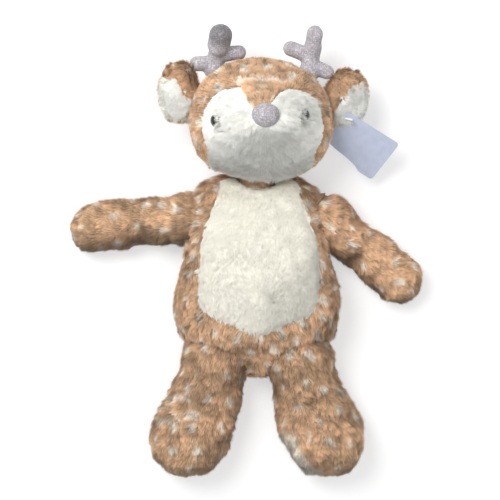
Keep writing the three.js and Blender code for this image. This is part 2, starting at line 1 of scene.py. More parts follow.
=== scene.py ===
# A plush deer on its back, seen from straight above. Lengths here are in millimetres.
import json
import math

import bmesh
import bpy
import numpy as np
from mathutils import Matrix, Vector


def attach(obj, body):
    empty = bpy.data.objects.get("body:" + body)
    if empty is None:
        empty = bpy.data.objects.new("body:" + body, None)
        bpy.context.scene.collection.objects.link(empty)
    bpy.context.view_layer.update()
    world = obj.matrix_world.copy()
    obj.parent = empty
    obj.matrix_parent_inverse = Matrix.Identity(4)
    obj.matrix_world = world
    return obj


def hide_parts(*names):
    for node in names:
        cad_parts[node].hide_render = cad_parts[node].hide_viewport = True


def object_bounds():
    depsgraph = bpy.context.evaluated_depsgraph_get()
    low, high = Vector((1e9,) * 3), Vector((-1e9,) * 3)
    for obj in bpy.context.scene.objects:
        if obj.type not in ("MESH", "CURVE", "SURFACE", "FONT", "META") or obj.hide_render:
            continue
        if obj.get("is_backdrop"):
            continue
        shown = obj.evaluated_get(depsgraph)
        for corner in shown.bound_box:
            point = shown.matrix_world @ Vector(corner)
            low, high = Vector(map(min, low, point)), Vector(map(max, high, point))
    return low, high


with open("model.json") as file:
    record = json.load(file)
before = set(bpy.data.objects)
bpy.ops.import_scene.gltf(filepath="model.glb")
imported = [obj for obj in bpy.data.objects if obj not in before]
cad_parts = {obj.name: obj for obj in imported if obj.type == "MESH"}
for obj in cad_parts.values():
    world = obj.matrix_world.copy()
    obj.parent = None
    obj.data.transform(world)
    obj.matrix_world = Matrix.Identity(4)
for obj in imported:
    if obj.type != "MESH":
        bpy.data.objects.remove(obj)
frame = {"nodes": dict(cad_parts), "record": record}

cad_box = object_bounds()
MM = 0.001
JOINTS = {j["name"]: np.array(j["pos_m"]) / MM for j in frame["record"]["behaviour"]["joints"]}


# Small helpers
def unit(v):
    return v / np.maximum(np.linalg.norm(v, axis=-1, keepdims=True), 1e-9)


def dot(a, b):
    return (a * b).sum(-1)


def along_surface(direction, normals):
    """The part of a direction that lies in the surface with these normals, of length one."""
    return unit(direction - dot(direction, normals)[:, None] * normals)


def turn(axis, degrees):
    return np.array(Matrix.Rotation(math.radians(degrees), 3, axis))


def smoothstep(low, high, x):
    t = np.clip((x - low) / (high - low), 0, 1)
    return t * t * (3 - 2 * t)


def bell(x, width):
    return np.exp(-((x / width) ** 2))


def soft_noise(points, size, seed, terms=10):
    """A smooth field between about -1 and 1 that varies over a length of size."""
    r = np.random.default_rng(seed)
    waves = unit(r.normal(size=(terms, 3))) * (2 * np.pi / size) * r.uniform(0.6, 1.5, (terms, 1))
    phases = r.uniform(0, 2 * np.pi, terms)
    return np.sin(points @ waves.T + phases).sum(1) / math.sqrt(terms)


def spline(rows, count):
    """A smooth curve of count points through the rows."""
    rows = np.asarray(rows, float)
    ends = np.vstack([2 * rows[0] - rows[1], rows, 2 * rows[-1] - rows[-2]])
    t = np.linspace(0, len(rows) - 1, count)
    i = np.minimum(t.astype(int), len(rows) - 2)
    f = (t - i)[:, None]
    before, a, b, after = ends[i], ends[i + 1], ends[i + 2], ends[i + 3]
    va, vb = (b - before) / 2, (after - a) / 2
    return (2 * a - 2 * b + va + vb) * f**3 + (-3 * a + 3 * b - 2 * va - vb) * f**2 + va * f + a


# Forms, as the solids have them: rows of shares of length, width, depth, lift and shift to the side
BODY = [[0, 0, 0, 0.67], [0.012, 0.31, 0.31, 0.375], [0.052, 0.54, 0.555, 0.167], [0.122, 0.8, 0.76, 0.03],
        [0.238, 0.98, 0.93, 0], [0.413, 1, 1, 0], [0.6, 0.9, 0.972, 0], [0.762, 0.82, 0.89, 0],
        [0.87, 0.8, 0.75, 0.04], [0.94, 0.73, 0.54, 0.16], [0.985, 0.48, 0.3, 0.4], [1, 0, 0, 0.72]]
ARM = [[-0.16, 0, 0, 1.3], [-0.12, 0.5, 0.5, 0.8], [0, 0.92, 0.92, 0.3], [0.2, 0.92, 0.95, 0.06],
       [0.42, 0.93, 0.95, 0, -0.02], [0.66, 1, 1, 0, -0.07], [0.84, 0.96, 0.92, 0.02, -0.13],
       [0.94, 0.72, 0.66, 0.15, -0.15], [0.985, 0.37, 0.34, 0.42, -0.15], [1, 0, 0, 0.7, -0.15]]
LEG = [[-0.2, 0, 0, 1], [-0.15, 0.4, 0.4, 0.6, -0.02], [0, 0.76, 0.84, 0.08, -0.03],
       [0.17, 0.78, 0.82, 0, -0.06], [0.43, 0.94, 0.89, 0, -0.02], [0.6, 1, 0.95, 0, 0.04],
       [0.75, 0.94, 1, 0, 0.08], [0.89, 0.72, 0.84, 0.03, 0.09], [0.965, 0.46, 0.5, 0.18, 0.08],
       [0.992, 0.22, 0.24, 0.4, 0.08], [1, 0, 0, 0.6, 0.08]]
HEAD = [[0, 0, 0, 0], [0.028, 0.41, 0.41, -0.41], [0.12, 0.75, 0.75, -0.75], [0.27, 0.95, 0.95, -0.95],
        [0.42, 1, 1, -1], [0.57, 0.95, 0.945, -0.915], [0.7, 0.81, 0.8, -0.7], [0.81, 0.63, 0.63, -0.4],
        [0.905, 0.44, 0.45, -0.06], [0.96, 0.28, 0.29, 0.24], [0.99, 0.13, 0.14, 0.46], [1, 0, 0, 0.62]]
EAR = [[-0.125, 0, 0, 0], [-0.105, 0.3, 0.5, -0.5], [-0.06, 0.45, 0.8, -0.8], [0, 0.54, 1, -1, 0.03],
       [0.33, 0.97, 0.9, -0.9, 0.24], [0.52, 1, 0.85, -0.85, 0.34], [0.71, 0.86, 0.75, -0.75, 0.42],
       [0.9, 0.52, 0.5, -0.5, 0.52], [0.975, 0.25, 0.26, -0.26, 0.58], [1, 0, 0, 0, 0.6]]
BELLY_OUTLINE = [[0.6, 0], [0.68, 0.12], [0.84, 0.3], [0.95, 0.43], [1, 0.56], [1, 0.72], [0.95, 0.82],
                 [0.78, 0.88], [0.42, 0.93], [0.14, 0.98]]
FACE_OUTLINE = [[0.36, 0], [0.72, 0.01], [0.9, 0.12], [0.98, 0.3], [1, 0.48], [0.94, 0.67], [0.8, 0.83],
                [0.55, 0.94], [0.25, 1]]
BLAZE_OUTLINE = [[1, 0], [0.9, 0.2], [0.62, 0.5], [0.4, 0.8], [0.25, 1]]


# Sizes of the forms, the same as the solids' own: length, width and depth, and the balls at joints.
# Only the nose differs: it is 0.4 to 1.1 mm smaller than its solid.
BODY_SIZE = (176, 140, 72)
SEAT_TO_ORIGIN = 79
FLOOR_FLAT = 0.5
LIMB_ROWS = {"arm": ARM, "leg": LEG}
LIMB_SIZE = {"arm": (102, 41, 36), "leg": (108, 69, 57)}
LIMB_BALL = {"arm": 45, "leg": 58}
LIMB_ANGLE = {"arm_right": 92, "arm_left": -127, "leg_right": 164, "leg_left": -164}
NECK_BALL = 34
HEAD_SIZE = (107, 120, 106)
HEAD_RISE = 42
HEAD_BEHIND_NECK = 3.8
HEAD_TILT = 25
HEAD_SIDE_TURN = 3.3
NOSE_SIZE = (23.4, 20.8, 18.6)
NOSE_DEPTH = 19
NOSE_RISE = 9
EYE_RADIUS = 6
EYE_HEIGHT = 4.6
SHANK_RADIUS = 2
SHANK_LENGTH = 7.5
EAR_SIZE = (37, 46, 9)
EAR_LEAN = 25
LINING_START = 8
LINING_INSET = 3.2
LINING_DEPTH = 6
ANTLER_ROOT = 18
BEAM_BEND = 13
BEAM_HEIGHT = 32.5
BEAM_FORWARD = 9
BEAM_DIAMETER = 14.5
CROWN_DIAMETER = {"right": 19, "left": 13.5}
TINE_DIAMETER = 12.5


def form(rows, length, width, depth, start=0.0, floor=0.0, mirror=1, taper=0.0, crown=0.88, sides=40,
         per_row=5):
    """A stuffed form along +Y: (points, faces)."""
    table = np.array([list(r) + [0] * (5 - len(r)) for r in rows], float)
    rings = (len(rows) - 1) * per_row
    along, wide, deep, lift, side = spline(table, rings + 1).T
    x = side * mirror * width / 2
    y = start + along * length
    z = floor + (lift + deep) * depth / 2
    angle = 2 * np.pi * (np.arange(sides) + 0.5) / sides
    right, up = np.cos(angle), np.sin(angle)
    rounded = lambda v: np.sign(v) * np.abs(v) ** np.where(up > 0, crown, 0.88)
    inner = slice(1, rings)
    px = x[inner, None] + wide[inner, None] * width / 2 * rounded(right) * (1 + taper * up)
    pz = z[inner, None] + deep[inner, None] * depth / 2 * rounded(up)
    py = np.repeat(y[inner, None], sides, 1)
    points = np.stack([px, py, pz], -1).reshape(-1, 3)
    points = np.vstack([points, [x[0], y[0], z[0]], [x[-1], y[-1], z[-1]]])
    first, last = len(points) - 2, len(points) - 1
    at = lambda ring, s: ring * sides + s % sides
    faces = []
    for s in range(sides):
        faces.append((first, at(0, s), at(0, s + 1)))
        faces.append((last, at(rings - 2, s + 1), at(rings - 2, s)))
        faces += [(at(r, s), at(r + 1, s), at(r + 1, s + 1), at(r, s + 1)) for r in range(rings - 2)]
    return points, faces


def ball(diameter, centre=(0, 0, 0), stretch=(1, 1, 1), rings=24):
    rows = np.linspace(0, np.pi, rings + 1)[1:-1]
    angle = np.linspace(0, 2 * np.pi, 2 * rings, endpoint=False)
    ring = np.stack([np.cos(angle), np.sin(angle)], -1)
    loops = [np.column_stack([ring * np.sin(r), np.full(len(angle), -np.cos(r))]) for r in rows]
    points = np.vstack([np.concatenate(loops), [0, 0, -1], [0, 0, 1]])
    points = points * diameter / 2 * np.array(stretch) + np.array(centre)
    n, first, last = 2 * rings, len(points) - 2, len(points) - 1
    faces = []
    for s in range(n):
        t = (s + 1) % n
        faces.append((first, t, s))
        faces.append((last, (rings - 2) * n + s, (rings - 2) * n + t))
        faces += [(r * n + s, r * n + t, (r + 1) * n + t, (r + 1) * n + s) for r in range(rings - 2)]
    return points, faces


def bar(a, b, diameter, rings=16):
    """A round bar with domed ends, as a ball drawn out from a to b."""
    a, b = np.array(a, float), np.array(b, float)
    points, faces = ball(diameter, rings=rings)
    z = unit(b - a)
    x = unit(np.cross(z, [0.3, 1, 0.2]))
    moved = points @ np.column_stack([x, np.cross(z, x), z]).T
    moved[points[:, 2] > 0] += b
    moved[points[:, 2] <= 0] += a
    return moved, faces


def placed(solid, rotation, place):
    points, faces = solid
    return points @ rotation.T + np.array(place), faces


def mesh_object(name, solids):
    points, faces, offset = [], [], 0
    for p, f in solids:
        points.append(p)
        faces += [tuple(i + offset for i in face) for face in f]
        offset += len(p)
    mesh = bpy.data.meshes.new(name)
    mesh.from_pydata((np.vstack(points) * MM).tolist(), [], faces)
    obj = bpy.data.objects.new(name, mesh)
    bpy.context.scene.collection.objects.link(obj)
    return obj


# Height of the cloth over the floor. A skin whose lowest point is under TOUCHING rests there, and the
# pile under it is pressed flat, from PRESSED_LOW up to PRESSED_SPREAD above that.
CLOTH_LIFT = 1.1
TOUCHING = 1.5
PRESSED_LOW = 0.05
PRESSED_SPREAD = 0.8
UNDER_SHARE = 0.6


class Skin:
    """The smooth cloth surface of one stuffed form: closed solids joined, cut and rounded over."""

    def __init__(self, solids, cuts=(), voxel=2.0, rounds=6, flat=True):
        obj = mesh_object("skin_work", solids)
        helpers = [mesh_object("skin_cut", [cut]) for cut in cuts]
        for helper in helpers:
            cut = obj.modifiers.new("cut", "BOOLEAN")
            cut.operation, cut.object, cut.solver = "DIFFERENCE", helper, "EXACT"
        remesh = obj.modifiers.new("remesh", "REMESH")
        remesh.mode, remesh.voxel_size = "VOXEL", voxel * MM
        smooth = obj.modifiers.new("smooth", "SMOOTH")
        smooth.factor, smooth.iterations = 0.5, rounds
        graph = bpy.context.evaluated_depsgraph_get()
        self.mesh = bpy.data.meshes.new_from_object(obj.evaluated_get(graph))
        for o in [obj, *helpers]:
            bpy.data.objects.remove(o)
        points = np.empty(len(self.mesh.vertices) * 3, np.float32)
        self.mesh.vertices.foreach_get("co", points)
        self.points = points.reshape(-1, 3).astype(float) / MM
        if flat:
            self.points[:, 2] = np.maximum(self.points[:, 2], CLOTH_LIFT)
        self.store()

    def store(self):
        """Writes the points to the mesh, and reads its triangles and normals."""
        self.mesh.vertices.foreach_set("co", (self.points * MM).ravel().astype(np.float32))
        self.mesh.update()
        self.mesh.calc_loop_triangles()
        tris = np.empty(len(self.mesh.loop_triangles) * 3, np.int32)
        self.mesh.loop_triangles.foreach_get("vertices", tris)
        self.tris = tris.reshape(-1, 3)
        normals = np.empty(len(self.mesh.vertices) * 3, np.float32)
        self.mesh.vertex_normals.foreach_get("vector", normals)
        self.normals = normals.reshape(-1, 3).astype(float)

    def push(self, amount):
        """Moves each point out along its normal; what rests on the floor stays there."""
        height = self.points[:, 2]
        grip = smoothstep(CLOTH_LIFT, 5, height) if height.min() < TOUCHING else 1
        self.points += self.normals * (amount * grip)[:, None]
        self.store()

    def sample(self, count, weight, seed):
        """Points spread over the surface by area times weight, fewer where it faces the floor."""
        r = np.random.default_rng(seed)
        a, b, c = (self.points[self.tris[:, i]] for i in range(3))
        cross = np.cross(b - a, c - a)
        middle = (a + b + c) / 3
        under = (unit(cross)[:, 2] < -0.5) & (middle[:, 2] < 12)
        share = np.linalg.norm(cross, axis=1) / 2 * weight(middle) * np.where(under, UNDER_SHARE, 1)
        cumulated = np.cumsum(share)
        steps = (np.arange(count) + r.random(count)) / count
        picks = np.searchsorted(cumulated, steps * cumulated[-1])
        picks = np.minimum(picks, len(share) - 1)
        u, v = r.random(count), r.random(count)
        flip = u + v > 1
        u[flip], v[flip] = 1 - u[flip], 1 - v[flip]
        w = np.stack([1 - u - v, u, v], -1)[:, :, None]
        places = (self.points[self.tris[picks]] * w).sum(1)
        normals = unit((self.normals[self.tris[picks]] * w).sum(1))
        return places, normals


# Materials
def material(name, roughness=0.6, **sockets):
    mat = bpy.data.materials.new(name)
    mat.use_nodes = True
    shader = mat.node_tree.nodes["Principled BSDF"]
    shader.inputs["Roughness"].default_value = roughness
    for key, value in sockets.items():
        shader.inputs[key.replace("_", " ")].default_value = value
    return mat, mat.node_tree.nodes, mat.node_tree.links, shader


def attribute(nodes, name):
    node = nodes.new("ShaderNodeAttribute")
    node.attribute_name = name
    return node.outputs["Fac"]


def mix(nodes, links, kind, factor, a, b):
    node = nodes.new("ShaderNodeMix")
    node.data_type, node.blend_type = "RGBA", kind
    for socket, value in ((node.inputs[0], factor), (node.inputs[6], a), (node.inputs[7], b)):
        if isinstance(value, bpy.types.NodeSocket):
            links.new(value, socket)
        elif isinstance(value, (int, float)):
            socket.default_value = value
        else:
            socket.default_value = (*value, 1)
    return node.outputs[2]


def textured(nodes, links, kind, scale, **settings):
    place = nodes.new("ShaderNodeTexCoord")
    node = nodes.new(kind)
    node.inputs["Scale"].default_value = scale
    for key, value in settings.items():
        node.inputs[key].default_value = value
    links.new(place.outputs["Object"], node.inputs["Vector"])
    return node


def ramp(nodes, links, value, stops):
    node = nodes.new("ShaderNodeValToRGB")
    elements = node.color_ramp.elements
    while len(elements) < len(stops):
        elements.new(0.5)
    for element, (at, colour) in zip(elements, stops):
        element.position = at
        element.color = (*colour, 1)
    links.new(value, node.inputs["Fac"])
    return node.outputs["Color"]


def bump(nodes, links, shader, height, strength, distance):
    node = nodes.new("ShaderNodeBump")
    node.inputs["Strength"].default_value = strength
    node.inputs["Distance"].default_value = distance * MM
    links.new(height, node.inputs["Height"])
    links.new(node.outputs["Normal"], shader.inputs["Normal"])


def toned(nodes, links, colour):
    """A colour times the attribute tone."""
    level = attribute(nodes, "tone")
    tone = nodes.new("ShaderNodeCombineColor")
    for i in range(3):
        links.new(level, tone.inputs[i])
    return mix(nodes, links, "MULTIPLY", 1.0, colour, tone.outputs[0])


def plush(name, root, tip, spot_root=(0.62, 0.56, 0.46), spot_tip=(0.92, 0.88, 0.8)):
    """Pile that is darker at its root, with paler tufts where the attribute spot says so."""
    mat, nodes, links, shader = material(name, 0.8, Sheen_Weight=0.12, Sheen_Roughness=0.5)
    shader.inputs["Specular IOR Level"].default_value = 0.2
    along = attribute(nodes, "along")
    plain = mix(nodes, links, "MIX", along, root, tip)
    pale = mix(nodes, links, "MIX", along, spot_root, spot_tip)
    colour = toned(nodes, links, mix(nodes, links, "MIX", attribute(nodes, "spot"), plain, pale))
    grain = textured(nodes, links, "ShaderNodeTexNoise", 700, Detail=2)
    shade = ramp(nodes, links, grain.outputs["Fac"], [(0.3, (0.93, 0.93, 0.93)), (0.7, (1, 1, 1))])
    links.new(mix(nodes, links, "MULTIPLY", 1.0, colour, shade), shader.inputs["Base Color"])
    return mat


def knit(name, dark, light):
    """Fine knit of matt yarn with a brighter thread in it."""
    mat, nodes, links, shader = material(name, 0.7, Sheen_Weight=0.15)
    stitch = textured(nodes, links, "ShaderNodeTexVoronoi", 640, Randomness=0.55)
    body = ramp(nodes, links, stitch.outputs["Distance"], [(0.12, light), (0.62, dark)])
    yarn = textured(nodes, links, "ShaderNodeTexNoise", 170, Detail=2)
    shade = ramp(nodes, links, yarn.outputs["Fac"], [(0.3, (0.88, 0.87, 0.88)), (0.7, (1.05, 1.04, 1.05))])
    split = nodes.new("ShaderNodeSeparateColor")
    links.new(stitch.outputs["Color"], split.inputs[0])
    bright = ramp(nodes, links, split.outputs[0], [(0.8, (0, 0, 0)), (0.86, (0.25, 0.25, 0.25))])
    colour = mix(nodes, links, "MULTIPLY", 1.0, body, shade)
    colour = mix(nodes, links, "MIX", bright, colour, (0.78, 0.76, 0.8))
    links.new(toned(nodes, links, colour), shader.inputs["Base Color"])
    rough = ramp(nodes, links, split.outputs[0], [(0.8, (0.8, 0.8, 0.8)), (0.86, (0.4, 0.4, 0.4))])
    links.new(rough, shader.inputs["Roughness"])
    bump(nodes, links, shader, stitch.outputs["Distance"], 0.5, -0.35)
    return mat


BROWN = plush("brown_plush", (0.2, 0.1, 0.05), (0.88, 0.585, 0.365), (0.6, 0.5, 0.38), (0.93, 0.86, 0.75))
CREAM = plush("cream_plush", (0.84, 0.84, 0.78), (0.985, 0.985, 0.945))
BELLY = plush("belly_plush", (0.88, 0.85, 0.75), (0.985, 0.965, 0.875))
LILAC = knit("lilac_knit", (0.36, 0.34, 0.36), (0.66, 0.63, 0.665))

GLOSS, _, _, _ = material("black_gloss", 0.06, Base_Color=(0.004, 0.0035, 0.004, 1), Coat_Weight=0.6)

HEM, nodes, links, shader = material("hem_cloth", 0.9)
weave = textured(nodes, links, "ShaderNodeTexNoise", 1500, Detail=2)
links.new(ramp(nodes, links, weave.outputs["Fac"], [(0.3, (0.26, 0.15, 0.08)), (0.7, (0.42, 0.26, 0.15))]),
          shader.inputs["Base Color"])
bump(nodes, links, shader, weave.outputs["Fac"], 0.5, 0.3)

NYLON, nodes, links, shader = material("nylon", 0.3)
cloud = textured(nodes, links, "ShaderNodeTexNoise", 500, Detail=1)
links.new(ramp(nodes, links, cloud.outputs["Fac"], [(0.3, (0.82, 0.83, 0.85)), (0.7, (0.93, 0.93, 0.95))]),
          shader.inputs["Base Color"])

CARD, nodes, links, shader = material("tag_card", 0.42)
fibre = textured(nodes, links, "ShaderNodeTexNoise", 160, Detail=4)
card_stops = [(0.35, (0.47, 0.52, 0.66)), (0.65, (0.52, 0.57, 0.71))]
links.new(ramp(nodes, links, fibre.outputs["Fac"], card_stops), shader.inputs["Base Color"])
bump(nodes, links, shader, fibre.outputs["Fac"], 0.08, 0.1)

FILL, nodes, links, shader = material("fibre_fill", 1.0)
wool = textured(nodes, links, "ShaderNodeTexNoise", 300, Detail=4)
links.new(ramp(nodes, links, wool.outputs["Fac"], [(0.3, (0.7, 0.69, 0.66)), (0.7, (0.92, 0.91, 0.88))]),
          shader.inputs["Base Color"])

SLOTS = {"brown_plush": BROWN, "cream_plush": CREAM, "lilac_knit": LILAC, "black_gloss": GLOSS,
         "nylon": NYLON, "tag_card": CARD, "fibre_fill": FILL}
for entry in frame["record"]["subparts"]:
    node = frame["nodes"][entry["node"]]
    mat = HEM if entry["node"].endswith("_hem") else SLOTS[entry["material_slot"]]
    node.data.materials.clear()
    node.data.materials.append(mat)


# Spots: pale tufts spread at random with a least distance, drawn out along the lie of the pile
class Spots:
    def __init__(self, skin, where, lie, gap, seed, size=(4.4, 3.1)):
        r = np.random.default_rng(seed)
        places, normals = skin.sample(2600, where, seed)
        chosen = []
        for i in r.permutation(len(places)):
            if chosen:
                nearest = np.linalg.norm(places[chosen] - places[i], axis=1).min()
                if nearest <= gap * r.uniform(0.85, 1.3):
                    continue
            chosen.append(i)
        self.at, n = places[chosen], normals[chosen]
        self.d = lie(self.at, n)
        self.c = np.cross(n, self.d)
        self.a = size[0] * r.uniform(0.7, 1.25, len(chosen))
        self.b = size[1] * r.uniform(0.7, 1.2, len(chosen))

    def value(self, points):
        best = np.full(len(points), 9.0)
        for i in range(len(self.at)):
            off = points - self.at[i]
            reach = np.sqrt((off @ self.d[i] / self.a[i]) ** 2 + (off @ self.c[i] / self.b[i]) ** 2
                            + (off @ np.cross(self.c[i], self.d[i]) / 6) ** 2)
            best = np.minimum(best, reach)
        return 1 - smoothstep(0.45, 1.4, best + 0.2 * soft_noise(points, 5, 5))


def set_floats(mesh, name, values):
    layer = mesh.attributes.get(name) or mesh.attributes.new(name, "FLOAT", "POINT")
    layer.data.foreach_set("value", np.asarray(values, np.float32))


# A strand is a slender leaf with a ridge: three points at its root, one at its tip
STRAND = np.array([(0, 1, 3), (1, 2, 3)])
CORNERS = np.array([[(0.1, 0.1), (0.5, 0.1), (0.4, 0.9)], [(0.5, 0.1), (0.9, 0.1), (0.6, 0.9)]])


def gathered(p, clump, r):
    """The middle of each strand's clump, and four random values that the strands of a clump share."""
    cell = np.floor(p / clump + r.normal(0, 0.2, p.shape)).astype(np.int64)
    code = cell[:, 0] * 73856093 ^ cell[:, 1] * 19349663 ^ cell[:, 2] * 83492791
    key, where = np.unique(code, return_inverse=True)
    total = np.bincount(where).astype(float)
    mean = np.stack([np.bincount(where, p[:, i]) / total for i in range(3)], -1)[where]
    return mean, r.normal(0, 1, (len(key), 4))[where]


def strand_mesh(name, points, normals):
    """One mesh of leaves, from four points and four normals for each."""
    count = len(points)
    mesh = bpy.data.meshes.new(name)
    tris = (np.arange(count)[:, None, None] * 4 + STRAND[None]).reshape(-1, 3)
    mesh.vertices.add(count * 4)
    mesh.vertices.foreach_set("co", (points * MM).ravel().astype(np.float32))
    mesh.loops.add(tris.size)
    mesh.loops.foreach_set("vertex_index", tris.ravel().astype(np.int32))
    mesh.polygons.add(len(tris))
    mesh.polygons.foreach_set("loop_start", np.arange(0, tris.size, 3, dtype=np.int32))
    mesh.polygons.foreach_set("loop_total", np.full(len(tris), 3, np.int32))
    mesh.polygons.foreach_set("use_smooth", np.ones(len(tris), bool))
    mesh.update(calc_edges=True)
    mesh.normals_split_custom_set_from_vertices(normals.reshape(-1, 3).tolist())
    return mesh


def strand_map(mesh, count):
    """A square of the UV map for each strand."""
    across = math.ceil(math.sqrt(count))
    square = np.stack([np.arange(count) % across, np.arange(count) // across], -1)[:, None, None]
    uv = (square + CORNERS[None]) / across
    mesh.uv_layers.new(name="OFBake").data.foreach_set("uv", uv.ravel().astype(np.float32))


def fur(name, skin, body, mat, count, lie, weight, seed, length=6.6, width=0.64, lean=67, spots=None,
        pale=None, clump=5.5, grip=0.45, trim=None, tone=0.32, swirl=0.45, shade=None, stand=None):
    """Pile made of slender strands that stand on a skin, lean along lie and gather into clumps."""
    r = np.random.default_rng(seed)
    p, n = skin.sample(count, weight, seed)
    flow = lie(p, n)
    aside = soft_noise(p, 24, seed + 1) + 0.5 * soft_noise(p, 9, seed + 3)
    d = unit(flow + swirl * aside[:, None] * np.cross(n, flow))
    mean, tuft = gathered(p, clump, r)
    d = along_surface(d + 0.16 * tuft[:, :1] * np.cross(n, d) + r.normal(0, 0.09, p.shape), n)
    reach = length * (1 + 0.08 * tuft[:, 1] + r.normal(0, 0.1, count)).clip(0.6, 1.4)
    if trim is not None:
        reach = reach * trim(p)
    angle = np.radians(lean) + 0.07 * tuft[:, 2] + r.normal(0, 0.07, count)
    if stand is not None:
        angle = angle - stand(p)
    t = np.cos(angle)[:, None] * n + np.sin(angle)[:, None] * d
    root = p - 0.4 * n
    tip = root + reach[:, None] * t + grip * (mean - p)
    wide = width / 2 * r.uniform(0.75, 1.25, count)[:, None]
    bind = unit(np.cross(n, d))
    over = np.cross(t, bind)
    points, normals = np.empty((count, 4, 3)), np.empty((count, 4, 3))
    for k, around in enumerate((bind, 0.35 * over, -bind)):
        points[:, k] = root + wide * around
        normals[:, k] = unit(n + 0.4 * around)
    points[:, 3] = tip
    normals[:, 3] = unit(n + 0.1 * r.normal(0, 1, p.shape))
    pressed = PRESSED_LOW + PRESSED_SPREAD * r.random(count)[:, None]
    points[:, :, 2] = np.maximum(points[:, :, 2], pressed)
    mesh = strand_mesh(name, points, normals)
    set_floats(mesh, "along", np.tile([0.0, 0.0, 0.0, 1.0], count))
    value = np.zeros(count) if spots is None else spots.value(p)
    if pale is not None:
        value = np.maximum(value, pale(p, n))
    value = 0.55 * (value > r.uniform(0.1, 0.9, count)) + 0.45 * value
    set_floats(mesh, "spot", np.repeat(value, 4))
    level = 1 + tone * (0.6 * tuft[:, 3] + 0.65 * r.normal(0, 1, count) + 0.45 * soft_noise(p, 13, seed + 2)
                        + 0.35 * soft_noise(p, 38, seed + 4))
    if shade is not None:
        level = level * shade(p, n)
    set_floats(mesh, "tone", np.repeat(level.clip(0.4, 1.4), 4))
    strand_map(mesh, count)
    mesh.materials.append(mat)
    obj = bpy.data.objects.new(name, mesh)
    bpy.context.scene.collection.objects.link(obj)
    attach(obj, body)
    return obj


def cloth(name, skin, body, mat, replaces=(), keep=None, spots=None, tone=None):
    """The cloth under the pile, or the part of it that keep picks out."""
    mesh = skin.mesh.copy()
    mesh.name = name
    if keep is not None:
        centres = np.empty(len(mesh.polygons) * 3, np.float32)
        mesh.polygons.foreach_get("center", centres)
        drop = ~keep(centres.reshape(-1, 3).astype(float) / MM).astype(bool)
        work = bmesh.new()
        work.from_mesh(mesh)
        work.faces.ensure_lookup_table()
        bmesh.ops.delete(work, geom=[work.faces[i] for i in np.flatnonzero(drop)], context="FACES")
        work.to_mesh(mesh)
        work.free()
    points = np.empty(len(mesh.vertices) * 3, np.float32)
    mesh.vertices.foreach_get("co", points)
    points = points.reshape(-1, 3).astype(float) / MM
    count = len(points)
    set_floats(mesh, "along", np.full(count, 0.25))
    set_floats(mesh, "tone", 0.97 + 0.04 * soft_noise(points, 38, 3) if tone is None else tone(points))
    set_floats(mesh, "spot", np.zeros(count) if spots is None else spots.value(points))
    mesh.polygons.foreach_set("use_smooth", np.ones(len(mesh.polygons), bool))
    mesh.materials.clear()
    mesh.materials.append(mat)
    obj = bpy.data.objects.new(name, mesh)
    bpy.context.scene.collection.objects.link(obj)
    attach(obj, body)
    if replaces:
        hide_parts(*replaces)
    return obj


class Panel:
    """A mirrored panel outline in x and y, with its top edge at top."""

    def __init__(self, outline, width, height, top, side=0.0, skew=0.0):
        rows = spline(outline, 40)
        half = np.stack([rows[:, 0] * width / 2, top - rows[:, 1] * height], -1)
        self.loop = np.vstack([half, half[::-1] * [-1, 1]]) + [side, 0]
        self.loop[:, 0] += skew * (top - self.loop[:, 1])

    def inside(self, q):
        hit = np.zeros(len(q), bool)
        for (x1, y1), (x2, y2) in zip(self.loop, np.roll(self.loop, -1, 0)):
            if y1 != y2:
                crosses = (y1 > q[:, 1]) != (y2 > q[:, 1])
                hit ^= crosses & (q[:, 0] < (x2 - x1) * (q[:, 1] - y1) / (y2 - y1) + x1)
        return hit

    def away(self, q):
        """How far each point is from the outline."""
        best = np.full(len(q), 1e9)
        for a, b in zip(self.loop, np.roll(self.loop, -1, 0)):
            t = np.clip((q[:, :2] - a) @ (b - a) / max(((b - a) ** 2).sum(), 1e-9), 0, 1)
            best = np.minimum(best, np.linalg.norm(q[:, :2] - a - t[:, None] * (b - a), axis=1))
        return best


# The deer's own right is at -x, on the left of the picture
SIDES = {"right": -1, "left": 1}
NECK = JOINTS["neck_turn"]
SHOULDER = {s: JOINTS[f"shoulder_{s}_swing"] for s in SIDES}
HIP = {s: JOINTS[f"hip_{s}_spread"] for s in SIDES}
ROOT = {"arm": SHOULDER, "leg": HIP}
SOCKETS = [(NECK, NECK_BALL)] + [(ROOT[kind][s], LIMB_BALL[kind]) for kind in ROOT for s in SIDES]

# Body
# The belly panel lies above BELLY_LEVEL, its seam is drawn in above SEAM_LEVEL, and each hollow is
# wider than its ball by HOLLOW_ROOM and bare of pile as far as HOLLOW_RIM from the ball
BELLY_LEVEL = 36
SEAM_LEVEL = 34
HOLLOW_ROOM = 5.6
HOLLOW_RIM = 3.6
body_form = form(BODY, *BODY_SIZE, start=-SEAT_TO_ORIGIN, floor=-FLOOR_FLAT)
torso = Skin([body_form], [ball(diameter + HOLLOW_ROOM, place) for place, diameter in SOCKETS])
belly = Panel(BELLY_OUTLINE, width=103, height=140, top=98, side=1.8)
p = torso.points
high = (p[:, 2] > SEAM_LEVEL).astype(float)


def dents(q):
    """Two creases low on the left of the belly, where the filling has sunk."""
    across = 0.87 * (q[:, 1] + 3) - 0.5 * (q[:, 0] - 24)
    along = 0.87 * (q[:, 0] - 24) + 0.5 * (q[:, 1] + 3)
    return (1.7 * bell(np.hypot(across / 6, along / 15), 1)
            + 1.2 * bell(np.hypot((q[:, 0] - 9 + 0.3 * q[:, 1]) / 6, (q[:, 1] + 10) / 13), 1))


torso.push(1.0 * soft_noise(p, 55, 31) + 0.4 * soft_noise(p, 22, 32)
           - 1.3 * high * bell(belly.away(p), 2.6) - high * dents(p))


def on_belly(q):
    return (belly.inside(q) & (q[:, 2] > BELLY_LEVEL)).astype(float)


def off_belly(q):
    return 1 - on_belly(q)


